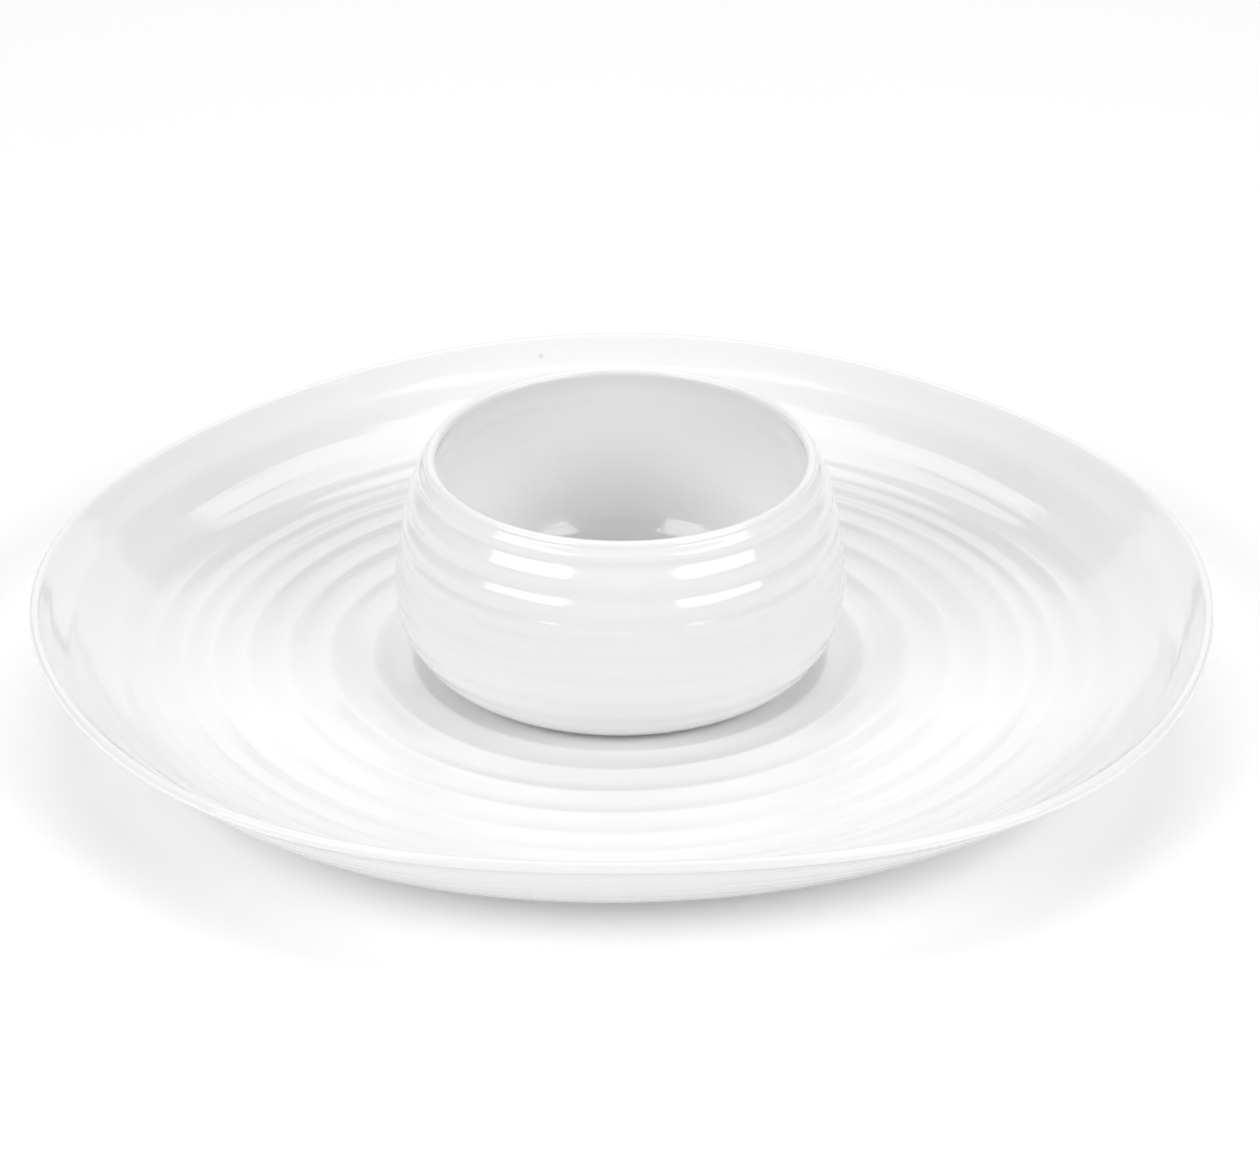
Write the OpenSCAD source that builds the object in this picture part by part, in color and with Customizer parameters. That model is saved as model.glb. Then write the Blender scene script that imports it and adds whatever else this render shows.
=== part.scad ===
// Chip and dip server: a wide rippled platter with a shallow well in its
// centre, and a separate round dip bowl that stands in the well and lifts off.
// Both are glazed white ware. The frame's origin is the middle of the
// platter's foot, on the table, with +Z up.

/* [Platter] */
// Diameter over the platter's rim
platter_d = 330; // [328:1:336]
// Height of the rim above the table
platter_h = 33; // [31:0.5:34]
// Height of the well's floor above the table
floor_z = 8.5; // [8:0.1:9.5]
// Thickness of the fired floor
platter_wall = 4.6; // [4.2:0.1:5]
// Thickness of the wall just under the lip
neck_wall = 2.6; // [2.4:0.1:2.8]
// Thickness of the rolled lip
lip_wall = 3.1; // [2.9:0.1:3.4]
// Lean of the wall's inside at the rim, in degrees from level
inside_slope = 46; // [44:1:48]
// Lean of the wall's outside at the rim, in degrees from level
rim_slope = 43; // [43:1:45]
// Rise of the chip floor, as a fraction of its run
floor_slope = 0.02; // [0.01:0.005:0.03]
// Radius where the floor starts to curve up into the wall
turn_r = 124; // [121:1:126]
// Radius where the underside turns up outside the foot
heel_r = 134; // [131:1:134]
// Radii of the ridges left between the throwing grooves
ridge_radii = [58.5, 69, 81.5, 93.5, 104.5, 114.5, 122.5, 131.5, 141.5, 154.5];
// Depth of the groove outside each ridge
groove_depths = [0.8, 0.8, 0.7, 0.6, 0.5, 0.5, 0.4, 0.4, 0.4, 0.2];
// Outer radius of the foot ring
foot_r = 108; // [105:1:110]
// Width of the foot ring where it meets the table
foot_w = 6; // [4:0.5:8]

/* [Well] */
// Radius of the level floor that the bowl stands on
well_flat_r = 50; // [47:0.5:52]
// Height of the first ridge above the well's floor
well_lip = 0.9; // [0.5:0.1:1.2]

/* [Bowl] */
// Height of the bowl
bowl_h = 62.6; // [61:0.1:65]
// Widest radius of the bowl, before the ripple
belly_r = 62.9; // [61:0.1:64]
// Height of the widest point above the bowl's foot
belly_z = 25; // [23:0.5:28]
// Outer radius at the rim, before the ripple
mouth_r = 55.2; // [54:0.1:57]
// Radius where the body turns in to the bowl's underside
base_r = 45; // [44:0.5:46]
// Thickness of the fired wall at its widest
bowl_wall = 4.4; // [4:0.1:5]
// Thickness of the lip
bowl_lip = 3; // [2.8:0.1:3.4]
// Heights of the valleys between the ripples outside
valley_heights = [3, 9, 14.5, 22.8, 30.5, 36.2, 41, 47.8, 56.5];
// How far the ripple above each valley stands out
ripples = [0.2, 0.2, 0.3, 0.4, 0.3, 0.4, 0.9, 1.1, 0.9];
// Thickness of the bowl's floor, above its foot's recess
bowl_floor = 4.3; // [4:0.1:5]
// Outer radius of the bowl's foot
bowl_foot_r = 43; // [41:0.5:43.5]
// Width of the bowl's foot
bowl_foot_w = 5; // [4:0.5:6]
// Height of the bowl's foot
bowl_foot_h = 1.2; // [1:0.1:1.5]

/* [Hidden] */
$fn = 180;

steps = 6;                  // points on each groove or ripple
lip_steps = 10;             // points on a rounded lip

// ---- shared curves ----

// A groove's depth between two ridges: 0 at both, deepest midway.
function scoop(u) = 4 * u * (1 - u);

// A ripple's height between two valleys, a little sharper at the valleys.
function swell(u) = pow(sin(180 * u), 1.5);

// Points along an arc, from angle a to angle b, round a centre [r, z].
function arc(centre, radius, a, b, n) =
    [for (i = [0:n]) let (t = a + (b - a) * i / n) centre + radius * [cos(t), sin(t)]];

// Places spread evenly from each value of a list to the next one.
function spread(values, n) = concat(
    [for (k = [0:len(values) - 2])
        for (i = [0:n - 1]) values[k] + (values[k + 1] - values[k]) * i / n],
    [values[len(values) - 1]]);

// The number of the span that holds a value, and the fraction along it.
function span_of(values, x) =
    let (k = max([for (i = [0:len(values) - 2]) values[i] <= x ? i : 0]))
    [k, min(1, max(0, (x - values[k]) / (values[k + 1] - values[k])))];

// ---- platter section ----

platter_r = platter_d / 2;
half_lip = lip_wall / 2;
wall_end_r = platter_r - half_lip * (1 + sin(rim_slope));
wall_end_z = platter_h - half_lip * (1 - cos(rim_slope));
first_ridge = ridge_radii[0];
crest_z = floor_z + well_lip;
wall_rise = wall_end_z - crest_z - floor_slope * (wall_end_r - first_ridge);
platter_floor = floor_z - platter_wall;   // height of the recess inside the foot
foot_round = 1;

// A level line that curves up from a radius and reaches the rim at a lean, and
// the lean that it has on the way.
function run_from(turn) = wall_end_r - turn;
function bend(turn, slope) = (tan(slope) - floor_slope) * run_from(turn) / wall_rise;
function climb(r, turn) = max(0, (r - turn) / run_from(turn));
function wall_line(r, turn, slope) =
    crest_z + floor_slope * (r - first_ridge) + wall_rise * pow(climb(r, turn), bend(turn, slope));
function wall_lean(r, turn, slope) =
    let (power = bend(turn, slope))
    atan(floor_slope + wall_rise * power / run_from(turn) * pow(climb(r, turn), power - 1));

// The grooved upper surface, from the first ridge to the rim.
groove_ends = concat(ridge_radii, [wall_end_r]);
function grooved(r) =
    let (s = span_of(groove_ends, r))
    wall_line(r, turn_r, inside_slope) - groove_depths[s[0]] * scoop(s[1]);

// The underside turns up further out, and lies square below its own line. The
// clay thins towards the neck under the lip, and thickens again into its roll.
roll_run = 5;
neck_r = wall_end_r - roll_run;
function clay(r) = r < neck_r
    ? platter_wall + (neck_wall - platter_wall) * pow((r - foot_r) / (neck_r - foot_r), 2)
    : neck_wall + (lip_wall - neck_wall) * pow((r - neck_r) / roll_run, 2);
function below(r) =
    let (lean = wall_lean(r, heel_r, rim_slope))
    [r, wall_line(r, heel_r, rim_slope)] + clay(r) * [sin(lean), -cos(lean)];

well_points = [for (i = [0:steps])
    let (u = i / steps)
    [well_flat_r + (first_ridge - well_flat_r) * u, floor_z + well_lip * u * u]];
upper_points = [for (r = spread(groove_ends, steps)) [r, grooved(r)]];
lip_centre = (below(wall_end_r) + [wall_end_r, wall_end_z]) / 2;
lip_points = arc(lip_centre, half_lip, rim_slope + 90, rim_slope - 90, lip_steps);
outer_steps = 40;
outer_points = [for (i = [0:outer_steps - 1])
    below(wall_end_r + (foot_r + 2 - wall_end_r) * i / outer_steps)];
foot_points = concat(
    arc([foot_r - foot_round, foot_round], foot_round, 0, -90, 4),
    arc([foot_r - foot_w + foot_round, foot_round], foot_round, -90, -180, 4));

module serving_platter() {
    color("white")
        rotate_extrude()
            polygon(concat(
                [[0, platter_floor], [0, floor_z]],
                well_points,
                upper_points,
                lip_points,
                outer_points,
                [below(foot_r)],
                foot_points,
                [[foot_r - foot_w, platter_floor]]));
}

// ---- bowl section ----

bowl_z = floor_z;
half_bowl_lip = bowl_lip / 2;
lip_z = bowl_h - half_bowl_lip;
inside_floor_z = bowl_foot_h + bowl_floor;
inside_base_r = 44;

// The body swells as a quarter ellipse up to the belly and then draws in to
// the mouth.
function lower_r(z, inner_r, outer_r, from_z) =
    inner_r + (outer_r - inner_r) * sqrt(max(0, 1 - pow((belly_z - z) / (belly_z - from_z), 2)));
draw_power = 1.7;           // how late the wall draws in to the mouth
function drawn(z) = (z - belly_z) / (lip_z - belly_z);
function upper_r(z) = belly_r - (belly_r - mouth_r) * pow(drawn(z), draw_power);
function body_r(z) = z < belly_z ? lower_r(z, base_r, belly_r, 0) : upper_r(z);

// Outside, with its ripples. Inside, with the shallow grooves of the fingers.
outside_ends = concat([bowl_foot_h], valley_heights, [lip_z]);
inside_ends = [belly_z, 33, 39.5, 46, 52.8, lip_z];
finger_depths = [0, 0, 0.05, 0.1, 0.2];
function outside_r(z) =
    let (s = span_of(outside_ends, z))
    body_r(z) + (s[0] == 0 ? 0 : ripples[s[0] - 1]) * swell(s[1]);
function inside_r(z) =
    let (s = span_of(inside_ends, z))
    z < belly_z ? lower_r(z, inside_base_r, belly_r - bowl_wall, inside_floor_z)
                : upper_r(z) - bowl_wall + (bowl_wall - bowl_lip) * drawn(z)
                    + finger_depths[s[0]] * scoop(s[1]);

outside_points = [for (z = spread(outside_ends, steps)) [outside_r(z), z]];
bowl_lip_points = arc([mouth_r - half_bowl_lip, lip_z], half_bowl_lip, 0, 180, lip_steps);
inside_grooves = spread(inside_ends, steps);
inside_points = [for (i = [len(inside_grooves) - 1:-1:0])
    [inside_r(inside_grooves[i]), inside_grooves[i]]];
bottom_points = [for (a = [80:-10:0])
    [inside_base_r + (belly_r - bowl_wall - inside_base_r) * sin(a),
     belly_z - (belly_z - inside_floor_z) * cos(a)]];
bowl_foot_round = 0.4;
bowl_foot_points = concat(
    arc([bowl_foot_r - bowl_foot_w + bowl_foot_round, bowl_foot_round], bowl_foot_round, 180, 270, 4),
    arc([bowl_foot_r - bowl_foot_round, bowl_foot_round], bowl_foot_round, 270, 360, 4));

module dip_bowl() {
    color("white")
        translate([0, 0, bowl_z])
            rotate_extrude()
                polygon(concat(
                    [[0, inside_floor_z], [0, bowl_foot_h], [bowl_foot_r - bowl_foot_w, bowl_foot_h]],
                    bowl_foot_points,
                    [[bowl_foot_r, bowl_foot_h]],
                    outside_points,
                    bowl_lip_points,
                    inside_points,
                    bottom_points));
}

serving_platter();
dip_bowl();
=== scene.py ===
"""A chip and dip server: a wide rippled platter with a round dip bowl standing in its well.

Both pieces are white glazed porcelain, turned round one upright axis. Each is built as one closed mesh from
a section of its clay, with the grooves of the maker's fingers, a slow unevenness round the wheel, and a rim
that isn't quite a circle. The finishes are a clear gloss glaze over white clay, and bare clay where the foot
was wiped so that the piece would not stick to the kiln shelf.

Sections are drawn in millimetres, as [radius, height], and become metres when the mesh is made.
"""

import sys

import logging
import math
import random
from dataclasses import dataclass, field
from enum import Enum

import bpy
import numpy as np
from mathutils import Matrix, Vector

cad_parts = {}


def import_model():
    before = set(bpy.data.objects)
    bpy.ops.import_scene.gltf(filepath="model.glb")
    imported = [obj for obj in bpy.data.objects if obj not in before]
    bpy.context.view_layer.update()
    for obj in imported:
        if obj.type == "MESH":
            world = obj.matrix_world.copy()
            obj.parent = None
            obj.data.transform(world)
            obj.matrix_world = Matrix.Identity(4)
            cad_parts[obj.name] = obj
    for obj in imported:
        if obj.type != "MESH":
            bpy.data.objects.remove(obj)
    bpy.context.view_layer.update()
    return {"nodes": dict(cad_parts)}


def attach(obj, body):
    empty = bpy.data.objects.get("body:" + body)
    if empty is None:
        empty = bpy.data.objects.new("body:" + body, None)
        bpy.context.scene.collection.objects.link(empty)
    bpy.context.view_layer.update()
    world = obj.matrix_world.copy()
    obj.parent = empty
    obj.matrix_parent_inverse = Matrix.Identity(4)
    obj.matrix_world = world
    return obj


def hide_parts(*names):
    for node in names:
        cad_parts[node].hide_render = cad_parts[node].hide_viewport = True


MM = 0.001
SHADE_ATTRIBUTE = "glaze_pool"

Node = bpy.types.Node
Socket = bpy.types.NodeSocket
Tree = bpy.types.NodeTree
Colour = tuple[float, float, float]

log = logging.getLogger("chip_and_dip")


class Body(Enum):
    """The two bodies that the pieces ride on."""

    PLATTER = "platter"
    BOWL = "bowl"


class Relief(Enum):
    """How the surface between two ring lines is shaped."""

    GROOVE = "groove"
    SWELL = "swell"


# ---------------------------------------------------------------- section drawing


@dataclass(frozen=True)
class SectionPoint:
    """One point of a section of clay, in millimetres.

    Attributes:
        r: Radius of the smooth form.
        z: Height of the smooth form.
        relief_r: How far the ring relief moves the point outwards.
        relief_z: How far the ring relief moves the point up.
        pool: How much painted shade the colour carries here, from 0 on a ridge to 1 in a groove.
    """

    r: float
    z: float
    relief_r: float = 0.0
    relief_z: float = 0.0
    pool: float = 0.4


Section = list[SectionPoint]


def relief_height(kind: Relief, u: float) -> float:
    """Gives the height of a groove or swell part of the way from one ring line to the next.

    Args:
        kind: The shape of the relief.
        u: The fraction of the way, from 0 to 1.

    Returns:
        The height, from 0 at both ring lines to 1 midway. A groove leaves rounded ridges at its ring lines,
        and a swell leaves soft valleys.
    """
    sharpness = {Relief.GROOVE: 1.25, Relief.SWELL: 1.5}[kind]
    return math.sin(math.pi * min(1.0, max(0.0, u))) ** sharpness


def spread(ends: list[float], steps: int) -> list[float]:
    """Gives places spread evenly from each value of a list to the next one.

    Args:
        ends: The values to pass through.
        steps: How many steps each span has.

    Returns:
        The places, from the first value to the last.
    """
    spans = zip(ends[:-1], ends[1:])
    return [a + (b - a) * i / steps for a, b in spans for i in range(steps)] + [ends[-1]]


def span_of(ends: list[float], x: float) -> tuple[int, float]:
    """Finds the span of a list that holds a value.

    Args:
        ends: The rising values that bound the spans.
        x: The value to find.

    Returns:
        The span's number, and the fraction of it that lies before the value.
    """
    k = max([i for i in range(len(ends) - 1) if ends[i] <= x], default=0)
    return k, min(1.0, max(0.0, (x - ends[k]) / (ends[k + 1] - ends[k])))


def arc(centre: tuple[float, float], radius: float, start: float, end: float, steps: int) -> Section:
    """Draws a round stretch of a section.

    Args:
        centre: The arc's centre, as radius and height.
        radius: The arc's own radius.
        start: The angle of its first point, in degrees.
        end: The angle of its last point, in degrees.
        steps: How many steps it has.

    Returns:
        The points of the arc.
    """
    turns = [math.radians(start + (end - start) * i / steps) for i in range(steps + 1)]
    return [SectionPoint(centre[0] + radius * math.cos(t), centre[1] + radius * math.sin(t)) for t in turns]


# ---------------------------------------------------------------- hand-made unevenness


@dataclass(frozen=True)
class Lobe:
    """One wave of unevenness round a rim.

    Attributes:
        order: How many times it rises in one turn.
        size: How far it rises, in millimetres.
        bearing: The angle of its first high place, in degrees from +X.
    """

    order: int
    size: float
    bearing: float

    def at(self, angle: np.ndarray) -> np.ndarray:
        """Gives the wave's height.

        Args:
            angle: Angles round the axis, in radians.

        Returns:
            The height at each angle, in millimetres.
        """
        return self.size * np.cos(self.order * (angle - math.radians(self.bearing)))


@dataclass(frozen=True)
class Wander:
    """A slow, smooth drift round a turned piece and along its section.

    Attributes:
        size: The greatest drift.
        seed: The seed that its waves are drawn from.
        waves: How many waves it adds up.
        reach: How far along the section one wave takes to turn over, in millimetres.
    """

    size: float
    seed: int
    waves: int = 4
    reach: float = 60.0

    def at(self, angle: np.ndarray, along: np.ndarray) -> np.ndarray:
        """Gives the drift at each place.

        Args:
            angle: Angles round the axis, in radians.
            along: Distances along the section, in millimetres.

        Returns:
            The drift, within the wander's size each way.
        """
        draw = random.Random(self.seed)
        total = np.zeros(np.broadcast(angle, along).shape)
        for order in range(1, self.waves + 1):
            phase = draw.uniform(0.0, 2.0 * math.pi)
            twist = draw.uniform(-1.0, 1.0) * 2.0 * math.pi / self.reach
            total += np.cos(order * angle + phase + twist * along) / self.waves
        return self.size * total


# ---------------------------------------------------------------- node trees


class Bench:
    """Places nodes in a node tree and joins them up."""

    def __init__(self, tree: Tree) -> None:
        """Takes the tree to work on and empties it.

        Args:
            tree: A material's tree or a node group.
        """
        self.tree = tree
        tree.nodes.clear()

    def add(self, kind: str, at: tuple[int, int], **settings: object) -> Node:
        """Places a node.

        Args:
            kind: The node's type, without its ShaderNode prefix.
            at: Its place in the tree's picture.
            **settings: Properties to set on the node.

        Returns:
            The node.
        """
        prefix = "" if kind.startswith("Node") else "ShaderNode"
        node = self.tree.nodes.new(prefix + kind)
        node.location = at
        for name, value in settings.items():
            setattr(node, name, value)
        return node

    def join(self, source: Socket, target: Socket) -> None:
        """Links an output to an input.

        Args:
            source: The output.
            target: The input.
        """
        self.tree.links.new(source, target)

    def maths(self, operation: str, at: tuple[int, int], *inputs: Socket | float) -> Socket:
        """Places a Math node with its inputs linked or set.

        Args:
            operation: The node's operation.
            at: Its place in the tree's picture.
            *inputs: A socket to link or a number to set, for each input in order.

        Returns:
            The node's output.
        """
        node = self.add("Math", at, operation=operation)
        self.feed(node, *inputs)
        return node.outputs[0]

    def feed(self, node: Node, *inputs: Socket | float) -> None:
        """Links or sets a node's first inputs, in order.

        Args:
            node: The node to feed.
            *inputs: A socket to link or a number to set, for each input in order.
        """
        for socket, value in zip(node.inputs, inputs):
            if isinstance(value, bpy.types.NodeSocket):
                self.join(value, socket)
            else:
                socket.default_value = value

    def span(self, value: Socket, at: tuple[int, int], low: float, high: float) -> Socket:
        """Spreads the values from low to high over 0 to 1, with soft ends.

        Args:
            value: The value to spread.
            at: The node's place in the tree's picture.
            low: The value that becomes 0.
            high: The value that becomes 1.

        Returns:
            The spread value.
        """
        node = self.add("MapRange", at, interpolation_type="SMOOTHSTEP")
        self.feed(node, value, low, high, 0.0, 1.0)
        return node.outputs["Result"]

    def mix(self, at: tuple[int, int], factor: Socket | float, a: object, b: object) -> Socket:
        """Mixes two colours.

        Args:
            at: The node's place in the tree's picture.
            factor: How much of the second colour there is.
            a: The first colour or its socket.
            b: The second colour or its socket.

        Returns:
            The mixed colour.
        """
        node = self.add("Mix", at, data_type="RGBA")
        for name, value in (("Factor", factor), ("A", a), ("B", b)):
            sockets = [s for s in node.inputs if s.name == name and s.enabled]
            if isinstance(value, bpy.types.NodeSocket):
                self.join(value, sockets[0])
            elif name == "Factor":
                sockets[0].default_value = value
            else:
                sockets[0].default_value = (*value, 1.0)
        return [s for s in node.outputs if s.enabled][0]


class GroupMaker:
    """Makes the node groups that the finishes share, each of them once."""

    @staticmethod
    def start(name: str, ins: dict[str, str], outs: dict[str, str]) -> tuple[Bench, Node, Node] | None:
        """Opens a new group with its sockets.

        Args:
            name: The group's name.
            ins: Each input's name and the short name of its socket type.
            outs: Each output's name and the short name of its socket type.

        Returns:
            A bench for the group and its two end nodes, or None where the group was made before.
        """
        if name in bpy.data.node_groups:
            return None
        group = bpy.data.node_groups.new(name, "ShaderNodeTree")
        for direction, sockets in (("INPUT", ins), ("OUTPUT", outs)):
            for label, kind in sockets.items():
                group.interface.new_socket(label, in_out=direction, socket_type="NodeSocket" + kind)
        bench = Bench(group)
        return bench, bench.add("NodeGroupInput", (-900, 0)), bench.add("NodeGroupOutput", (700, 0))

    @classmethod
    def throwing_marks(cls) -> Tree:
        """Makes fine lines round the wheel, such as fingers and a rib leave in wet clay.

        Returns:
            A group that takes a place and the lines to a metre, and puts out a height from 0 to 1.
        """
        name = "throwing_marks"
        made = cls.start(name, {"Place": "Vector", "Lines": "Float"}, {"Height": "Float"})
        if made:
            bench, ins, outs = made
            split = bench.add("SeparateXYZ", (-720, 120))
            bench.join(ins.outputs["Place"], split.inputs[0])
            flat = bench.add("CombineXYZ", (-560, 200))
            bench.feed(flat, split.outputs["X"], split.outputs["Y"], 0.0)
            away = bench.add("VectorMath", (-400, 200), operation="LENGTH")
            bench.join(flat.outputs[0], away.inputs[0])
            drift = bench.add("TexNoise", (-560, -160))
            drift.inputs["Scale"].default_value = 9.0
            drift.inputs["Detail"].default_value = 1.0
            bench.join(ins.outputs["Place"], drift.inputs["Vector"])
            sway = bench.maths("MULTIPLY", (-380, -160), drift.outputs["Fac"], 0.004)
            out = bench.maths("ADD", (-220, 160), away.outputs["Value"], sway)
            up = bench.maths("ADD", (-220, 0), split.outputs["Z"], sway)
            across = bench.maths("MULTIPLY", (-60, 160), out, ins.outputs["Lines"])
            along = bench.maths("MULTIPLY", (-60, 0), up, ins.outputs["Lines"])
            line = bench.add("CombineXYZ", (100, 100))
            bench.feed(line, across, along, 0.0)
            noise = bench.add("TexNoise", (260, 100))
            noise.inputs["Scale"].default_value = 1.0
            noise.inputs["Detail"].default_value = 2.5
            noise.inputs["Roughness"].default_value = 0.55
            bench.join(line.outputs[0], noise.inputs["Vector"])
            bench.join(noise.outputs["Fac"], outs.inputs["Height"])
        return bpy.data.node_groups[name]

    @classmethod
    def glaze_skin(cls) -> Tree:
        """Makes the faint dimpling and slow swimming of a glaze that melted and set.

        Returns:
            A group that takes a place and puts out a height from 0 to 1.
        """
        name = "glaze_skin"
        made = cls.start(name, {"Place": "Vector", "Dimples": "Float"}, {"Height": "Float"})
        if made:
            bench, ins, outs = made
            fine = bench.add("TexNoise", (-500, 160))
            fine.inputs["Detail"].default_value = 1.0
            bench.join(ins.outputs["Place"], fine.inputs["Vector"])
            bench.join(ins.outputs["Dimples"], fine.inputs["Scale"])
            slow = bench.add("TexNoise", (-500, -120))
            slow.inputs["Scale"].default_value = 38.0
            slow.inputs["Detail"].default_value = 0.5
            bench.join(ins.outputs["Place"], slow.inputs["Vector"])
            small = bench.maths("MULTIPLY", (-260, 160), fine.outputs["Fac"], 0.22)
            large = bench.maths("MULTIPLY", (-260, -120), slow.outputs["Fac"], 0.78)
            bench.join(bench.maths("ADD", (-60, 40), small, large), outs.inputs["Height"])
        return bpy.data.node_groups[name]

    @classmethod
    def glaze_pool(cls) -> Tree:
        """Paints shade into the glaze colour: lighter and warmer on ridges and lips, darker and cooler in
        grooves and hollows.

        Returns:
            A group that takes a place, a shade amount from 0 to 1 and the two colours, and puts out a
            colour.
        """
        name = "glaze_pool"
        takes = {"Place": "Vector", "Depth": "Float", "Unshaded": "Color", "Shaded": "Color"}
        made = cls.start(name, takes, {"Colour": "Color"})
        if made:
            bench, ins, outs = made
            cloud = bench.add("TexNoise", (-640, -140))
            cloud.inputs["Scale"].default_value = 14.0
            cloud.inputs["Detail"].default_value = 3.0
            bench.join(ins.outputs["Place"], cloud.inputs["Vector"])
            swing = bench.maths("MULTIPLY_ADD", (-440, -140), cloud.outputs["Fac"], 0.7, -0.35)
            depth = bench.maths("ADD", (-240, 60), ins.outputs["Depth"], swing)
            soft = bench.span(depth, (-60, 60), -0.1, 1.1)
            colour = bench.mix((160, 60), soft, ins.outputs["Unshaded"], ins.outputs["Shaded"])
            bench.join(colour, outs.inputs["Colour"])
        return bpy.data.node_groups[name]

    @classmethod
    def glaze_line(cls) -> Tree:
        """Marks where the glaze stops, a little unevenly, just above a wiped foot.

        Returns:
            A group that takes a place and the line's height in metres, and puts out 1 where there is glaze.
        """
        name = "glaze_line"
        made = cls.start(name, {"Place": "Vector", "Line": "Float"}, {"Glazed": "Float"})
        if made:
            bench, ins, outs = made
            split = bench.add("SeparateXYZ", (-640, 120))
            bench.join(ins.outputs["Place"], split.inputs[0])
            wave = bench.add("TexNoise", (-640, -120))
            wave.inputs["Scale"].default_value = 55.0
            wave.inputs["Detail"].default_value = 2.0
            bench.join(ins.outputs["Place"], wave.inputs["Vector"])
            drop = bench.maths("MULTIPLY_ADD", (-440, -120), wave.outputs["Fac"], 0.0006, -0.0003)
            height = bench.maths("SUBTRACT", (-260, 100), split.outputs["Z"], ins.outputs["Line"])
            edge = bench.maths("ADD", (-100, 40), height, drop)
            bench.join(bench.span(edge, (80, 40), -0.00008, 0.00008), outs.inputs["Glazed"])
        return bpy.data.node_groups[name]

    @classmethod
    def kiln_specks(cls) -> Tree:
        """Makes the rare pale-grey specks of iron that show through a white glaze.

        Returns:
            A group that takes a place and the specks' spacing, and puts out 1 inside a speck.
        """
        name = "kiln_specks"
        made = cls.start(name, {"Place": "Vector", "Spacing": "Float"}, {"Speck": "Float"})
        if made:
            bench, ins, outs = made
            cells = bench.add("TexVoronoi", (-640, 60), feature="F1")
            cells.inputs["Randomness"].default_value = 1.0
            bench.join(ins.outputs["Place"], cells.inputs["Vector"])
            bench.join(bench.maths("DIVIDE", (-820, 0), 1.0, ins.outputs["Spacing"]), cells.inputs["Scale"])
            dot = bench.span(cells.outputs["Distance"], (-400, 120), 0.05, 0.02)
            tint = bench.add("SeparateColor", (-400, -100))
            bench.join(cells.outputs["Color"], tint.inputs[0])
            few = bench.maths("GREATER_THAN", (-220, -100), tint.outputs[0], 0.72)
            bench.join(bench.maths("MULTIPLY", (-40, 40), dot, few), outs.inputs["Speck"])
        return bpy.data.node_groups[name]


# ---------------------------------------------------------------- finishes


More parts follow.
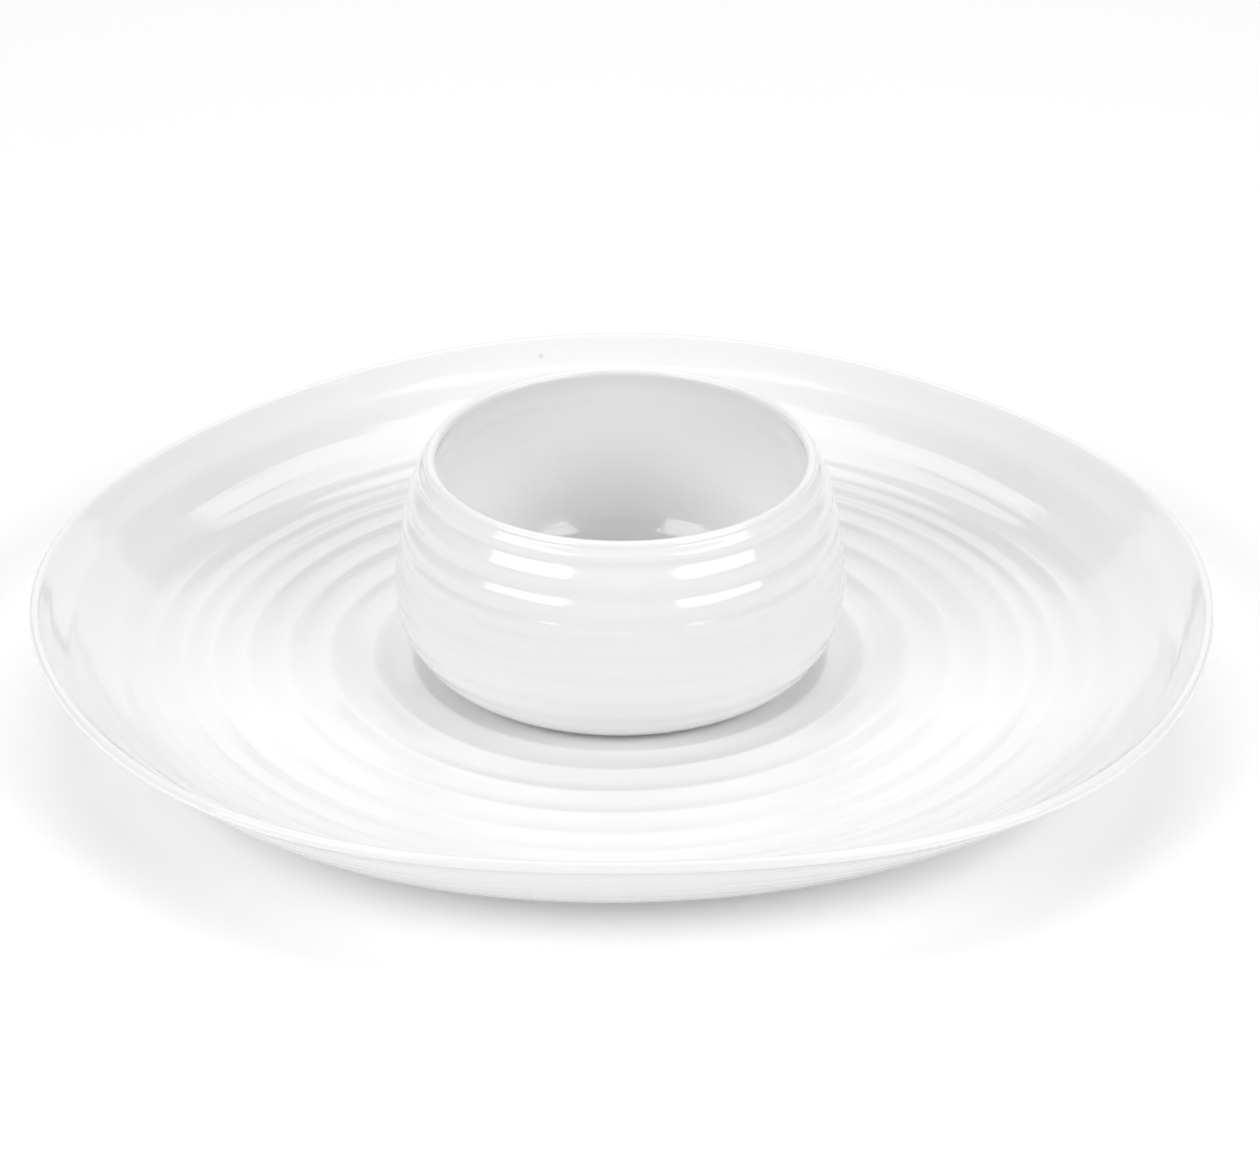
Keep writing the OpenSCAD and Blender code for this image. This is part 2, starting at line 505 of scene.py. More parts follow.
@dataclass(frozen=True)
class PorcelainGlaze:
    """A clear gloss glaze over white porcelain, with shade painted into its grooves, stopping short of a
    bare wiped foot.

    Attributes:
        name: The material's name.
        glaze_line: The height where the glaze stops, in metres.
        open_colour: The glaze's colour on ridges and lips, clear of the painted shade.
        deep: The darker, cooler colour that is painted into grooves and hollows as shade.
        bare: The colour of the unglazed clay.
        speck: The colour of the kiln's specks.
        mark_lines: Fine throwing lines to a metre.
        mark_depth: How deep those lines look, in metres.
        sweep_lines: Broad sweeps of the hand to a metre.
        sweep_depth: How deep those sweeps look, in metres.
        skin_depth: How deep the glaze's dimpling looks, in metres.
        gloss: The roughness of the glaze.
        matt: The roughness of bare clay.
        dimples: Fine dimples to a metre.
        speck_spacing: How far apart the places for a speck lie, in metres.
        speck_share: How much of its own colour a speck shows through the glaze.
    """

    name: str
    glaze_line: float
    open_colour: Colour = (0.93, 0.93, 0.925)
    deep: Colour = (0.905, 0.91, 0.91)
    bare: Colour = (0.80, 0.785, 0.76)
    speck: Colour = (0.45, 0.43, 0.40)
    mark_lines: float = 330.0
    mark_depth: float = 0.00010
    sweep_lines: float = 95.0
    sweep_depth: float = 0.00045
    skin_depth: float = 0.00014
    gloss: float = 0.065
    matt: float = 0.72
    dimples: float = 900.0
    speck_spacing: float = 0.02
    speck_share: float = 0.35

    def dress(self) -> bpy.types.Material:
        """Builds the material.

        Returns:
            The finished material.
        """
        material = bpy.data.materials.new(self.name)
        material.use_nodes = True
        bench = Bench(material.node_tree)
        place = bench.add("TexCoord", (-1300, 0)).outputs["Object"]
        pool = bench.add("Attribute", (-1300, 260), attribute_type="GEOMETRY", attribute_name=SHADE_ATTRIBUTE)
        groups = {
            "marks": self._group(bench, GroupMaker.throwing_marks(), (-1000, -420), place),
            "sweeps": self._group(bench, GroupMaker.throwing_marks(), (-1000, -820), place),
            "skin": self._group(bench, GroupMaker.glaze_skin(), (-1000, -620), place),
            "pool": self._group(bench, GroupMaker.glaze_pool(), (-1000, 260), place),
            "line": self._group(bench, GroupMaker.glaze_line(), (-1000, -20), place),
            "speck": self._group(bench, GroupMaker.kiln_specks(), (-1000, -220), place),
        }
        groups["marks"].inputs["Lines"].default_value = self.mark_lines
        groups["sweeps"].inputs["Lines"].default_value = self.sweep_lines
        groups["skin"].inputs["Dimples"].default_value = self.dimples
        groups["line"].inputs["Line"].default_value = self.glaze_line
        groups["speck"].inputs["Spacing"].default_value = self.speck_spacing
        groups["pool"].inputs["Unshaded"].default_value = (*self.open_colour, 1.0)
        groups["pool"].inputs["Shaded"].default_value = (*self.deep, 1.0)
        # Painted shade: the amount stored on the mesh pulls the glaze colour towards the darker one.
        bench.join(pool.outputs["Fac"], groups["pool"].inputs["Depth"])
        glazed = groups["line"].outputs["Glazed"]
        shader = bench.add("BsdfPrincipled", (100, 100))
        self._colour(bench, groups, glazed, shader)
        self._surface(bench, groups, glazed, shader)
        bench.join(shader.outputs[0], bench.add("OutputMaterial", (420, 100)).inputs["Surface"])
        return material

    @staticmethod
    def _group(bench: Bench, tree: Tree, at: tuple[int, int], place: Socket) -> Node:
        """Places a shared group and gives it the place on the piece.

        Args:
            bench: The material's bench.
            tree: The shared group.
            at: The node's place in the tree's picture.
            place: The place on the piece.

        Returns:
            The group's node.
        """
        node = bench.add("Group", at, node_tree=tree)
        bench.join(place, node.inputs["Place"])
        return node

    def _colour(self, bench: Bench, groups: dict[str, Node], glazed: Socket, shader: Node) -> None:
        """Colours the glaze with its painted shade, its specks and the bare clay.

        Args:
            bench: The material's bench.
            groups: The material's group nodes by name.
            glazed: 1 where there is glaze.
            shader: The shader to colour.
        """
        faint = bench.maths("MULTIPLY", (-700, -200), groups["speck"].outputs["Speck"], self.speck_share)
        glaze = bench.mix((-500, 220), faint, groups["pool"].outputs["Colour"], self.speck)
        bench.join(bench.mix((-280, 160), glazed, self.bare, glaze), shader.inputs["Base Color"])

    def _surface(self, bench: Bench, groups: dict[str, Node], glazed: Socket, shader: Node) -> None:
        """Sets the gloss and the fine relief.

        Args:
            bench: The material's bench.
            groups: The material's group nodes by name.
            glazed: 1 where there is glaze.
            shader: The shader to finish.
        """
        drop = bench.maths("MULTIPLY_ADD", (-280, -60), glazed, self.gloss - self.matt, self.matt)
        bench.join(drop, shader.inputs["Roughness"])
        sweeps = bench.add("Bump", (-700, -420))
        sweeps.inputs["Distance"].default_value = self.sweep_depth
        bench.join(groups["sweeps"].outputs["Height"], sweeps.inputs["Height"])
        marks = bench.add("Bump", (-500, -420))
        bench.join(sweeps.outputs["Normal"], marks.inputs["Normal"])
        marks.inputs["Distance"].default_value = self.mark_depth
        bench.join(groups["marks"].outputs["Height"], marks.inputs["Height"])
        skin = bench.add("Bump", (-280, -520))
        skin.inputs["Distance"].default_value = self.skin_depth
        bench.join(groups["skin"].outputs["Height"], skin.inputs["Height"])
        bench.join(marks.outputs["Normal"], skin.inputs["Normal"])
        bench.join(skin.outputs["Normal"], shader.inputs["Normal"])


@dataclass(frozen=True)
class PaperSweep:
    """The plain matt white that the server stands on.

    Attributes:
        name: The material's name.
        pale: The paper's colour.
        shade: The colour of its faint mottling.
        bounce: How much light it gives off of its own, as paper lit from beneath does.
        lift: How much brighter again it looks to the camera.
    """

    name: str = "paper_sweep"
    pale: Colour = (0.93, 0.93, 0.93)
    shade: Colour = (0.915, 0.915, 0.915)
    bounce: float = 0.11
    lift: float = 0.03

    def dress(self) -> bpy.types.Material:
        """Builds the material.

        Returns:
            The finished material.
        """
        material = bpy.data.materials.new(self.name)
        material.use_nodes = True
        bench = Bench(material.node_tree)
        place = bench.add("TexCoord", (-700, 0)).outputs["Object"]
        mottle = bench.add("TexNoise", (-500, 0))
        mottle.inputs["Scale"].default_value = 3.0
        bench.join(place, mottle.inputs["Vector"])
        shader = bench.add("BsdfPrincipled", (0, 0))
        shader.inputs["Roughness"].default_value = 0.9
        shader.inputs["Specular IOR Level"].default_value = 0.1
        colour = bench.mix((-260, 0), mottle.outputs["Fac"], self.pale, self.shade)
        bench.join(colour, shader.inputs["Base Color"])
        seen = bench.add("LightPath", (-480, -260)).outputs["Is Camera Ray"]
        shader.inputs["Emission Color"].default_value = (1.0, 1.0, 1.0, 1.0)
        glow = bench.maths("MULTIPLY_ADD", (-260, -260), seen, self.lift, self.bounce)
        bench.join(glow, shader.inputs["Emission Strength"])
        bench.join(shader.outputs[0], bench.add("OutputMaterial", (320, 0)).inputs["Surface"])
        return material


# ---------------------------------------------------------------- turned pieces


@dataclass
class TurnedPiece:
    """A piece of pottery turned round the upright axis and built as one closed mesh.

    Attributes:
        node: The CAD node that it stands for, and its own name.
        body: The body that it rides on.
        slot: The name of a material slot, not used.
        around: How many steps it has round the axis.
        drift: How far its rings wander sideways, in millimetres.
        depth: How much the depth of its rings varies, as a fraction.
    """

    node: str
    body: Body
    slot: str
    around: int = 384
    drift: Wander = field(default_factory=lambda: Wander(0.8, 11))
    depth: Wander = field(default_factory=lambda: Wander(0.45, 23))

    def section(self) -> Section:
        """Draws the section.

        Returns:
            The points from the axis, over the top, and back to the axis underneath.
        """
        raise NotImplementedError

    def sway(self, r: np.ndarray, z: np.ndarray, angle: np.ndarray) -> tuple[np.ndarray, np.ndarray]:
        """Gives how far the clay is pulled out and up at each place, in millimetres.

        Args:
            r: Radii of the smooth form.
            z: Heights of the smooth form.
            angle: Angles round the axis.

        Returns:
            The pull outwards and the pull upwards.
        """
        raise NotImplementedError

    def build(self, finish: PorcelainGlaze) -> bpy.types.Object:
        """Builds and dresses the piece and puts it on its body.

        Args:
            finish: The glaze that it wears.

        Returns:
            The finished piece.
        """
        points = self.section()
        mesh = bpy.data.meshes.new(self.node)
        places, shade_amounts = self._places(points)
        mesh.from_pydata(places.tolist(), [], self._faces(len(points)))
        # Stores how much painted shade each vertex carries.
        mesh.attributes.new(SHADE_ATTRIBUTE, "FLOAT", "POINT").data.foreach_set("value", shade_amounts)
        mesh.shade_smooth()
        mesh.materials.append(finish.dress())
        mesh.validate()
        piece = bpy.data.objects.new(f"{self.node}_ware", mesh)
        bpy.context.scene.collection.objects.link(piece)
        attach(piece, self.body.value)
        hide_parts(self.node)
        log.info("%s: %d points, %d faces", piece.name, len(mesh.vertices), len(mesh.polygons))
        return piece

    def _places(self, points: Section) -> tuple[np.ndarray, np.ndarray]:
        """Turns the section round the axis.

        Args:
            points: The section, which starts and ends on the axis.

        Returns:
            Every vertex in metres, and the amount of painted shade at each.
        """
        inner = points[1:-1]
        r = np.array([p.r for p in inner])[:, None]
        z = np.array([p.z for p in inner])[:, None]
        out = np.array([p.relief_r for p in inner])[:, None]
        up = np.array([p.relief_z for p in inner])[:, None]
        along = r + z
        angle = (np.arange(self.around) * 2.0 * math.pi / self.around)[None, :]
        depth = 1.0 + self.depth.at(angle, along)
        pull_out, pull_up = self.sway(r, z, angle)
        radius = (r + out * depth + pull_out) * MM
        height = (z + up * depth + pull_up) * MM
        rings = np.stack([radius * np.cos(angle), radius * np.sin(angle), height], axis=-1)
        poles = np.array([[0.0, 0.0, p.z * MM] for p in (points[0], points[-1])])
        shade_amounts = np.repeat([p.pool for p in inner], self.around)
        shade_amounts = np.concatenate([shade_amounts, [points[0].pool, points[-1].pool]])
        return np.concatenate([rings.reshape(-1, 3), poles]), shade_amounts

    def _faces(self, count: int) -> list[tuple[int, ...]]:
        """Joins the turned section into faces that look outwards.

        Args:
            count: How many points the section has.

        Returns:
            The faces, as vertex numbers.
        """
        n, rings = self.around, count - 2
        first, last = n * rings, n * rings + 1
        faces: list[tuple[int, ...]] = []
        for i in range(n):
            j = (i + 1) % n
            faces.append((first, i, j))
            faces.append((last, (rings - 1) * n + j, (rings - 1) * n + i))
            faces += [(k * n + i, (k + 1) * n + i, (k + 1) * n + j, k * n + j) for k in range(rings - 1)]
        return faces


@dataclass
class Platter(TurnedPiece):
    """The wide platter, with its well, its grooved floor and wall, and its foot ring.

    Attributes:
        radius: Radius over the rim.
        height: Height of the rim above the table.
        floor_z: Height of the well's floor.
        wall, neck_wall, lip_wall: Thickness of the clay at the foot, under the lip and in the lip's roll.
        roll_run: How far in from the lip the roll reaches.
        inside_slope, rim_slope: Lean of the wall's two sides at the rim, in degrees from level.
        floor_slope: Rise of the chip floor, as a fraction of its run.
        turn_r, heel_r: Radii where the floor and the underside start to curve up.
        ridges: Radii of the ridges between the grooves.
        groove_depths: Depth of the groove outside each ridge.
        well_flat_r, well_lip: Radius of the level floor in the well, and height of the rise round it.
        foot_r, foot_w, foot_round: The foot ring's outer radius, its width and the rounding of its edges.
        foot_top, foot_tuck: Height of the foot ring's straight side, and of the soft step above it.
        recess_round: Rounding of the corner between the foot ring and the recess inside it.
        groove_steps: Points along each groove.
        rim_out, rim_up: The rim's unevenness, outwards and upwards.
        still_r: Radius within which the platter keeps its true round form.
        loose_r, loose_run: Where the rings start to wander, and over what run they do.
        loose_z: Height above which the clay wanders.
    """

    node: str = "serving_platter"
    body: Body = Body.PLATTER
    slot: str = "platter_glaze"
    radius: float = 165.0
    height: float = 33.0
    floor_z: float = 8.5
    wall: float = 4.6
    neck_wall: float = 2.6
    lip_wall: float = 3.1
    roll_run: float = 5.0
    inside_slope: float = 46.0
    rim_slope: float = 43.0
    floor_slope: float = 0.02
    turn_r: float = 124.0
    heel_r: float = 134.0
    ridges: tuple[float, ...] = (58.5, 69, 81.5, 93.5, 104.5, 114.5, 122.5, 131.5, 141.5, 154.5)
    groove_depths: tuple[float, ...] = (0.8, 0.8, 0.7, 0.6, 0.5, 0.5, 0.4, 0.4, 0.4, 0.2)
    well_flat_r: float = 50.0
    well_lip: float = 0.9
    foot_r: float = 108.0
    foot_w: float = 6.0
    foot_round: float = 1.0
    foot_top: float = 2.4
    foot_tuck: float = 0.6
    recess_round: float = 1.2
    groove_steps: int = 14
    rim_out: tuple[Lobe, ...] = (Lobe(1, 0.9, -40), Lobe(3, 1.8, -28), Lobe(5, 1.8, 21))
    rim_up: tuple[Lobe, ...] = (
        Lobe(1, 0.5, -95),
        Lobe(2, 1.75, 81),
        Lobe(3, 0.3, -20),
        Lobe(5, 0.3, -13),
    )
    still_r: float = 110.0
    loose_r: float = 54.0
    loose_run: float = 12.0
    loose_z: float = 6.0

    def __post_init__(self) -> None:
        """Works out the line of the floor and wall from the driving sizes."""
        lean = math.radians(self.rim_slope)
        self.end_r = self.radius - self.lip_wall / 2 * (1 + math.sin(lean))
        end_z = self.height - self.lip_wall / 2 * (1 - math.cos(lean))
        self.crest_z = self.floor_z + self.well_lip
        self.rise = end_z - self.crest_z - self.floor_slope * (self.end_r - self.ridges[0])

    def wall_line(self, r: float, turn: float, slope: float) -> tuple[float, float]:
        """Follows a level line that curves up into the wall.

        Args:
            r: The radius to look at.
            turn: The radius where the line starts to curve up.
            slope: Its lean at the rim, in degrees.

        Returns:
            The line's height, and its lean in radians.
        """
        run = self.end_r - turn
        power = (math.tan(math.radians(slope)) - self.floor_slope) * run / self.rise
        climb = max(0.0, (r - turn) / run)
        height = self.crest_z + self.floor_slope * (r - self.ridges[0]) + self.rise * climb**power
        return height, math.atan(self.floor_slope + self.rise * power / run * climb ** (power - 1))

    def ridge(self, r: float) -> tuple[float, float]:
        """Follows the line that the ridges stand on.

        Args:
            r: The radius to look at.

        Returns:
            The line's height, and its lean in radians.
        """
        return self.wall_line(r, self.turn_r, self.inside_slope)

    def clay(self, r: float) -> float:
        """Gives the thickness of the clay, which thins to the neck and then swells into the lip's roll.

        Args:
            r: The radius to look at.

        Returns:
            The thickness, square to the underside's line.
        """
        neck_r = self.end_r - self.roll_run
        if r < neck_r:
            way = (r - self.foot_r) / (neck_r - self.foot_r)
            return self.wall + (self.neck_wall - self.wall) * way**2
        return self.neck_wall + (self.lip_wall - self.neck_wall) * ((r - neck_r) / self.roll_run) ** 2

    def below(self, r: float) -> tuple[float, float]:
        """Gives the point of the underside that lies square below the line that turns up at the heel.

        Args:
            r: The radius of the place on that line.

        Returns:
            The point's radius and height.
        """
        height, lean = self.wall_line(r, self.heel_r, self.rim_slope)
        clay = self.clay(r)
        return r + clay * math.sin(lean), height - clay * math.cos(lean)

    def section(self) -> Section:
        """Draws the platter's section.

        Returns:
            The points from the middle of the well, over the rim, to the middle of the underside.
        """
        ends = [*self.ridges, self.end_r]
        well = self._well()
        floor = [self._grooved(ends, r) for r in spread(ends, self.groove_steps)]
        inner_end, outer_end = (self.end_r, self.ridge(self.end_r)[0]), self.below(self.end_r)
        centre = ((inner_end[0] + outer_end[0]) / 2, (inner_end[1] + outer_end[1]) / 2)
        lip = arc(centre, self.lip_wall / 2, self.rim_slope + 90, self.rim_slope - 90, 20)[1:]
        # The lip carries almost no painted shade.
        lip = [SectionPoint(p.r, p.z, pool=0.05) for p in lip]
        foot_edge = self.foot_r + self.foot_round
        under_r = [self.end_r + (foot_edge - self.end_r) * i / 80 for i in range(1, 81)]
        under = [SectionPoint(*self.below(r)) for r in under_r]
        return well + floor[1:] + lip + under + self._foot()

    def _well(self) -> Section:
        """Draws the level floor that the bowl stands on and the rise to the first ridge.

        Returns:
            The points from the axis to the first ridge.
        """
        level = [SectionPoint(self.well_flat_r * i / 5, self.floor_z) for i in range(6)]
        run = self.ridges[0] - self.well_flat_r
        steps = self.groove_steps
        rise = [(i / steps) ** 2 for i in range(1, steps + 1)]
        # Painted shade: darkest at the foot of the rise beside the bowl, fading to none at the first ridge.
        curve = [
            SectionPoint(self.well_flat_r + run * math.sqrt(u), self.floor_z + self.well_lip * u, pool=1 - u)
            for u in rise
        ]
        return level + curve

    def _grooved(self, ends: list[float], r: float) -> SectionPoint:
        """Gives a point of the grooved floor or wall.

        Args:
            ends: The ridges' radii and the wall's end.
            r: The point's radius.

        Returns:
            The point, with the groove as its relief.
        """
        k, u = span_of(ends, r)
        depth = self.groove_depths[k] * relief_height(Relief.GROOVE, u)
        height, lean = self.ridge(r)
        across, down = depth * math.sin(lean), -depth * math.cos(lean)
        # Painted shade in the groove, more where the groove is deeper.
        return SectionPoint(r, height, across, down, depth / max(self.groove_depths))

    def _foot(self) -> Section:
        """Draws the foot ring and the recess inside it.

        Returns:
            The points from the foot ring's outside to the axis.
        """
        inside, outside = self.foot_r - self.foot_w, self.foot_r
        recess_z = self.floor_z - self.wall
        low, bend = self.foot_round, self.recess_round
        foot = [SectionPoint(outside, self.below(outside)[1] - self.foot_tuck)]
        foot += [SectionPoint(outside, self.foot_top)]
        foot += arc((outside - low, low), low, 0, -90, 8)
        foot += arc((inside + low, low), low, -90, -180, 8)
        foot += [SectionPoint(inside, recess_z - bend)]
        foot += [
            SectionPoint(inside - bend * (1 - math.cos(t)), recess_z - bend + bend * math.sin(t))
            for t in (0.4, 0.8, 1.2, math.pi / 2)
        ]
        return foot + [SectionPoint(inside * i / 8, recess_z) for i in range(7, -1, -1)]

    def sway(self, r: np.ndarray, z: np.ndarray, angle: np.ndarray) -> tuple[np.ndarray, np.ndarray]:
        """Pulls the rim out of round, and lets the rings wander.

        Args:
            r: Radii of the smooth form.
            z: Heights of the smooth form.
            angle: Angles round the axis.

        Returns:
            The pull outwards and the pull upwards.
        """
        reach = np.clip((r - self.still_r) / (self.radius - self.still_r), 0.0, 1.0)
        share = reach**1.6
        out = share * sum(lobe.at(angle) for lobe in self.rim_out)
        up = share * sum(lobe.at(angle) for lobe in self.rim_up)
        above = np.clip((z - self.loose_z) / 2.0, 0.0, 1.0)
        outside_well = np.clip((r - self.loose_r) / self.loose_run, 0.0, 1.0)
        loose = above * outside_well * np.clip((self.radius - r) / 20.0, 0.0, 1.0)
        return out + loose * self.drift.at(angle, r), up


@dataclass
class DipBowl(TurnedPiece):
    """The round-bellied dip bowl, with its rippled outside, its grooved inside and its low foot.

    Attributes:
        stands_at: Height of the well's floor, on which the bowl stands.
        height: Height from foot to lip.
        belly_r, belly_z: The widest radius and its height above the bowl's foot.
        mouth_r: Outer radius at the lip.
        base_r, inside_base_r: Where the body turns in to the underside and to the level inside.
        wall, lip_wall, floor: Thickness of the clay at the belly, in the lip and in the floor.
        draw_power: How late the wall draws in to the mouth.
        valleys: Heights of the valleys between the ripples outside.
        ripples: How far the ripple below and above each valley stands out.
        inside_rings: Heights of the ridges between the finger grooves inside.
        finger_depths: Depth of the groove below and above each of them.
        foot_r, foot_w, foot_h, foot_round: The foot's outer radius, width, height and rounding.
        ripple_steps: Points along each ripple.
        rim_out, rim_up: The lip's unevenness, outwards and upwards.
        still_z: Height above the foot up to which the bowl keeps its true round form.
    """

    node: str = "dip_bowl"
    body: Body = Body.BOWL
    slot: str = "bowl_glaze"
    stands_at: float = 8.5
    height: float = 62.6
    belly_r: float = 62.9
    belly_z: float = 25.0
    mouth_r: float = 55.2
    base_r: float = 45.0
    wall: float = 4.4
    lip_wall: float = 3.0
    draw_power: float = 1.7
    valleys: tuple[float, ...] = (3, 9, 14.5, 22.8, 30.5, 36.2, 41, 47.8, 56.5)
    ripples: tuple[float, ...] = (0.0, 0.2, 0.2, 0.3, 0.4, 0.3, 0.4, 0.9, 1.1, 0.9)
    inside_rings: tuple[float, ...] = (33, 39.5, 46, 52.8)
    finger_depths: tuple[float, ...] = (0.0, 0.0, 0.05, 0.1, 0.2)
    inside_base_r: float = 44.0
    floor: float = 4.3
    foot_r: float = 43.0
    foot_w: float = 5.0
    foot_h: float = 1.2
    foot_round: float = 0.4
    ripple_steps: int = 14
    still_z: float = 6.0
    rim_out: tuple[Lobe, ...] = (Lobe(1, 0.5, 0), Lobe(2, 1.0, 90), Lobe(3, 0.2, 70))
    rim_up: tuple[Lobe, ...] = (Lobe(1, 0.7, 90), Lobe(2, 0.2, 100))
    drift: Wander = field(default_factory=lambda: Wander(0.5, 41, reach=50.0))
    depth: Wander = field(default_factory=lambda: Wander(0.35, 57, reach=40.0))

    def __post_init__(self) -> None:
        """Works out the heights that the sections share."""
        self.lip_z = self.height - self.lip_wall / 2
        self.inside_z = self.foot_h + self.floor

    def lower_r(self, z: float, base: float, belly: float, start: float) -> float:
        """Gives the radius of a quarter ellipse that swells from its base up to the belly.

        Args:
            z: The height to look at.
            base: The radius that it starts from.
            belly: The radius at the belly.
            start: The height that it starts from.

        Returns:
            The radius.
        """
        fall = (self.belly_z - z) / (self.belly_z - start)
        return base + (belly - base) * math.sqrt(max(0.0, 1.0 - fall**2))

    def drawn(self, z: float) -> float:
        """Gives how far up the shoulder a height lies.

        Args:
            z: The height to look at.

        Returns:
            The fraction, from 0 at the belly to 1 at the lip.
        """
        return max(0.0, (z - self.belly_z) / (self.lip_z - self.belly_z))

    def upper_r(self, z: float) -> float:
        """Gives the radius of the body where it draws in to the mouth.

        Args:
            z: The height to look at.

        Returns:
            The outer radius, before the ripples.
        """
        return self.belly_r - (self.belly_r - self.mouth_r) * self.drawn(z) ** self.draw_power

    def section(self) -> Section:
        """Draws the bowl's section.

        Returns:
            The points from the middle of the inside, over the lip, to the middle of the underside.
        """
        ends = [self.belly_z, *self.inside_rings, self.lip_z]
        # Painted shade: the inside floor and its curve carry more of it than the wall above.
        floor = [SectionPoint(self.inside_base_r * i / 5, self.inside_z, pool=0.6) for i in range(6)]
        belly_in = self.belly_r - self.wall
        curve = [
            SectionPoint(
                self.inside_base_r + (belly_in - self.inside_base_r) * math.sin(t),
                self.belly_z - (self.belly_z - self.inside_z) * math.cos(t),
                pool=0.6,
            )
            for t in (math.pi / 2 * i / 30 for i in range(1, 30))
        ]
        wall = [self._inside(ends, z) for z in spread(ends, self.ripple_steps)]
        centre = (self.mouth_r - self.lip_wall / 2, self.lip_z)
        # The lip carries almost no painted shade.
        lip = [SectionPoint(p.r, p.z, pool=0.05) for p in arc(centre, self.lip_wall / 2, 180, 0, 20)][1:-1]
        outside_ends = [self.foot_h, *self.valleys, self.lip_z]
        heights = spread(outside_ends, self.ripple_steps)[::-1]
        outside = [self._outside(outside_ends, z) for z in heights]
        points = floor + curve + wall + lip + outside + self._foot()
        lift = self.stands_at
        return [SectionPoint(p.r, p.z + lift, p.relief_r, p.relief_z, p.pool) for p in points]

    def _inside(self, ends: list[float], z: float) -> SectionPoint:
        """Gives a point of the grooved inside.

        Args:
            ends: The heights that bound the grooves.
            z: The point's height.

        Returns:
            The point, with the groove as its relief.
        """
        k, u = span_of(ends, z)
        height = relief_height(Relief.GROOVE, u)
        clay = self.wall + (self.lip_wall - self.wall) * self.drawn(z)
        return SectionPoint(self.upper_r(z) - clay, z, self.finger_depths[k] * height, 0.0)

    def _outside(self, ends: list[float], z: float) -> SectionPoint:
        """Gives a point of the rippled outside.

        Args:
            ends: The heights that bound the ripples.
            z: The point's height.

        Returns:
            The point, with the ripple as its relief.
        """
        k, u = span_of(ends, z)
        height = relief_height(Relief.SWELL, u)
        body = self.upper_r(z) if z > self.belly_z else self.lower_r(z, self.base_r, self.belly_r, 0.0)
        stand = self.ripples[k] * height
        # Painted shade: more in the valleys between ripples, less on their crowns.
        return SectionPoint(body, z, stand, 0.0, 0.5 - 0.5 * stand / max(self.ripples))

    def _foot(self) -> Section:
        """Draws the foot and the recess inside it.

        Returns:
            The points from the foot's outside to the axis.
        """
        inside, outside, low = self.foot_r - self.foot_w, self.foot_r, self.foot_round
        foot = [SectionPoint(outside + 0.2, self.foot_h)]
        foot += arc((outside - low, low), low, 0, -90, 6)
        foot += arc((inside + low, low), low, -90, -180, 6)
        foot += [SectionPoint(inside - 0.1, self.foot_h)]
        return foot + [SectionPoint(inside * i / 6, self.foot_h) for i in range(5, -1, -1)]

    def sway(self, r: np.ndarray, z: np.ndarray, angle: np.ndarray) -> tuple[np.ndarray, np.ndarray]:
        """Pulls the lip a little out of round, and lets the ripples wander up and down.

        Args:
            r: Radii of the smooth form.
            z: Heights of the smooth form.
            angle: Angles round the axis.

        Returns:
            The pull outwards and the pull upwards.
        """
        reach = np.clip((z - self.stands_at - self.still_z) / (self.lip_z - self.still_z), 0.0, 1.0)
        out = reach * sum(lobe.at(angle) for lobe in self.rim_out)
        up = reach**2 * sum(lobe.at(angle) for lobe in self.rim_up)
        below_lip = np.clip((self.stands_at + self.lip_z - z) / 8.0, 0.0, 1.0)
        above_foot = np.clip((z - self.stands_at - self.still_z) / self.still_z, 0.0, 1.0)
        return out, up + below_lip * above_foot * self.drift.at(angle, z)


# ---------------------------------------------------------------- studio


@dataclass(frozen=True)
class Softbox:
    """A large soft light.

    Attributes:
        name: The light's name.
        bearing: Degrees round from the camera's side, positive to the right.
        rise: Degrees above the table.
        away: Distance from the server, in metres.
        wide: Width in metres.
        tall: Height in metres.
        glow: Brightness of its face.
    """

    name: str
    bearing: float
    rise: float
    away: float
    wide: float
    tall: float
    glow: float

    def place(self, target: Vector) -> None:
        """Makes the light and turns it to the server.

        Args:
            target: The point that it faces.
        """
        lamp = bpy.data.lights.new(self.name, "AREA")
        lamp.shape = "RECTANGLE"
        lamp.size, lamp.size_y = self.wide, self.tall
        lamp.energy = self.glow * math.pi * self.wide * self.tall
        turn, lift = math.radians(self.bearing), math.radians(self.rise)
        way = Vector((math.sin(turn) * math.cos(lift), -math.cos(turn) * math.cos(lift), math.sin(lift)))
        light = bpy.data.objects.new(self.name, lamp)
        light.location = target + way * self.away
        light.rotation_euler = (-way).to_track_quat("-Z", "Y").to_euler()
        bpy.context.scene.collection.objects.link(light)


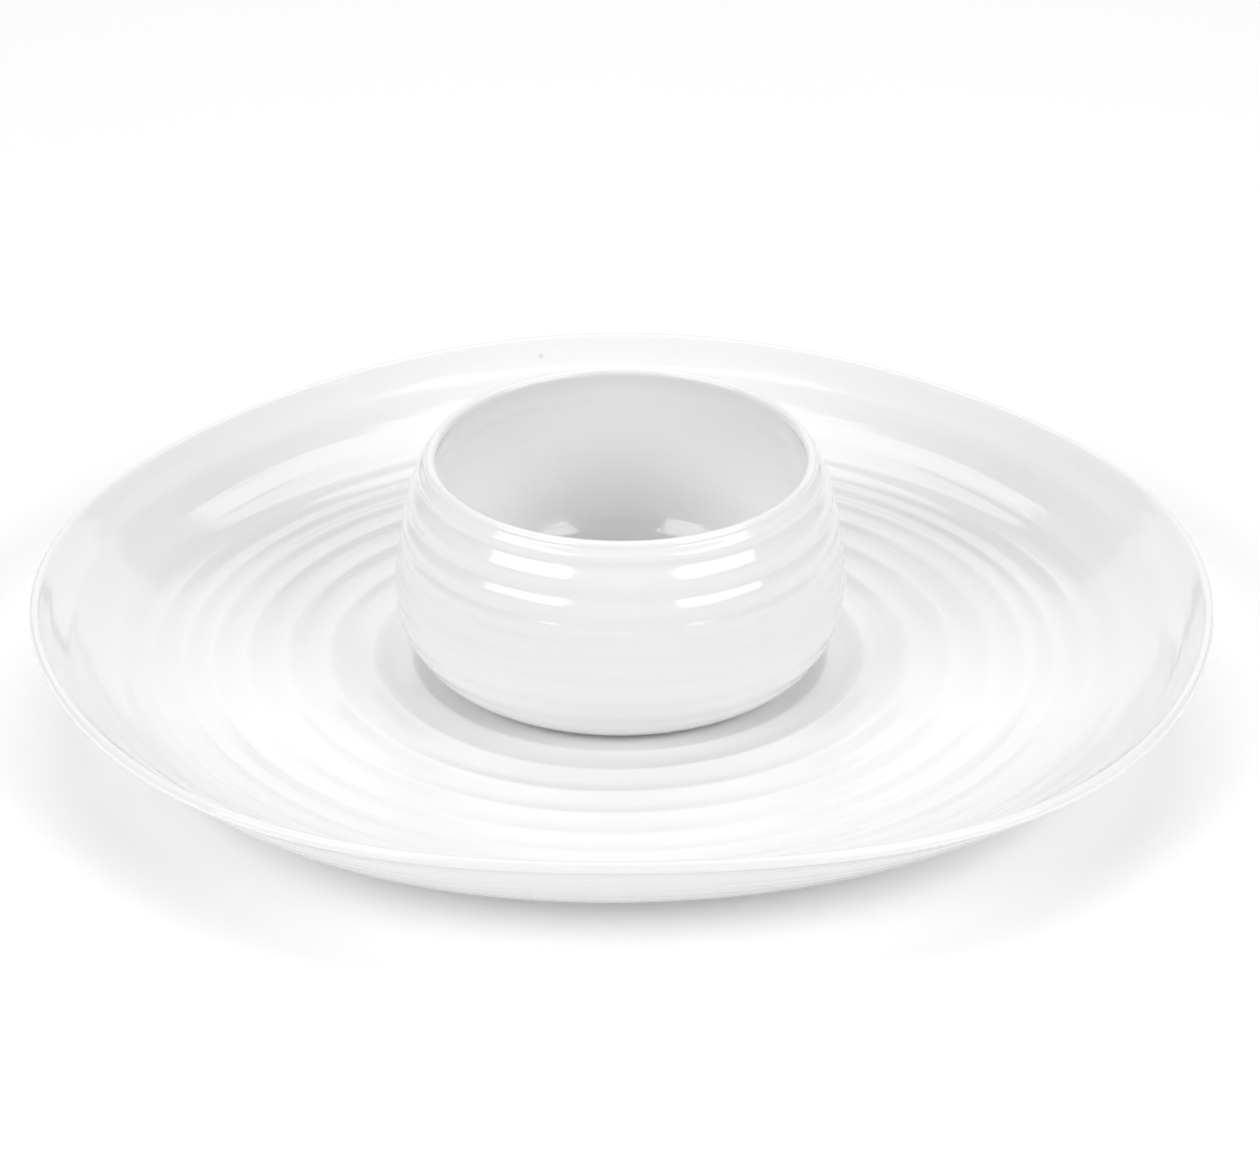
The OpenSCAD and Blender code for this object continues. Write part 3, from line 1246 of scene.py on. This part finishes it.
@dataclass(frozen=True)
class Studio:
    """A white sweep, a dim room, four soft lights and the camera.

    Attributes:
        distance: From the middle of the well to the camera, in metres.
        rise: The camera's height above the well, in degrees as seen from it.
        tilt: How far the camera looks down, in degrees.
        aside: How far the camera stands to the right, in metres.
        lens: The camera's focal length, in millimetres.
        sensor: The width of its sensor, in millimetres.
        room: Brightness of the room.
        sweep: Half the width of the floor, in metres.
        boxes: The soft lights.
    """

    distance: float = 1.2
    rise: float = 27.88
    tilt: float = 27.01
    aside: float = 0.0028
    lens: float = 121.4
    sensor: float = 36.0
    room: float = 0.03
    sweep: float = 6.0
    boxes: tuple[Softbox, ...] = (
        Softbox("left_softbox", -53.0, 32.0, 1.6, 1.2, 0.7, 5.1),
        Softbox("right_softbox", 55.0, 32.0, 1.6, 1.2, 0.7, 5.1),
        Softbox("backdrop_glow", 180.0, 20.0, 1.6, 2.6, 0.8, 0.95),
        Softbox("overhead_softbox", 180.0, 72.0, 1.7, 1.6, 1.4, 2.25),
    )

    def build(self, well_z: float) -> None:
        """Builds the whole studio.

        Args:
            well_z: The height of the well's floor, in metres.
        """
        self._camera(well_z)
        self._floor()
        self._room()
        for box in self.boxes:
            box.place(Vector((0.0, 0.0, well_z)))
        bpy.context.scene.view_settings.view_transform = "Standard"
        log.info("studio: %d softboxes", len(self.boxes))

    def _camera(self, well_z: float) -> None:
        """Places the camera in front of the server and turns it down to it.

        Args:
            well_z: The height of the well's floor, in metres.
        """
        data = bpy.data.cameras.new("camera")
        data.lens, data.sensor_width = self.lens, self.sensor
        camera = bpy.data.objects.new("camera", data)
        rise = math.radians(self.rise)
        camera.location = (
            self.aside,
            -self.distance * math.cos(rise),
            self.distance * math.sin(rise) + well_z,
        )
        camera.rotation_euler = (math.radians(90.0 - self.tilt), 0.0, 0.0)
        bpy.context.scene.collection.objects.link(camera)
        bpy.context.scene.camera = camera

    def _floor(self) -> None:
        """Lays the floor under the server."""
        s = self.sweep
        mesh = bpy.data.meshes.new("floor")
        mesh.from_pydata([(-s, -s, 0), (s, -s, 0), (s, s, 0), (-s, s, 0)], [], [(0, 1, 2, 3)])
        mesh.materials.append(PaperSweep().dress())
        floor = bpy.data.objects.new("floor", mesh)
        bpy.context.scene.collection.objects.link(floor)

    def _room(self) -> None:
        """Fills the room with even dim light."""
        world = bpy.data.worlds.new("room")
        world.use_nodes = True
        background = world.node_tree.nodes["Background"]
        background.inputs["Color"].default_value = (1.0, 1.0, 1.0, 1.0)
        background.inputs["Strength"].default_value = self.room
        bpy.context.scene.world = world


# ---------------------------------------------------------------- the server


@dataclass
class ChipAndDipServer:
    """The platter with its dip bowl.

    Attributes:
        platter: The platter.
        bowl: The bowl that stands in it.
    """

    platter: Platter = field(default_factory=Platter)
    bowl: DipBowl = field(default_factory=DipBowl)

    def build(self) -> None:
        """Builds both pieces, each in its glaze."""
        self.platter.build(PorcelainGlaze("platter_glaze", glaze_line=1.3 * MM))
        foot = (self.bowl.stands_at + 0.5) * MM
        self.bowl.build(PorcelainGlaze("bowl_glaze", glaze_line=foot))


def main() -> None:
    """Builds the server in its studio and reports each piece."""
    logging.basicConfig(level=logging.INFO, format="%(name)s: %(message)s", stream=sys.stdout)
    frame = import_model()
    log.info("frame: nodes %s", sorted(frame["nodes"]))
    server = ChipAndDipServer()
    server.build()
    Studio().build(server.platter.floor_z * MM)


if __name__ == "__main__":
    main()
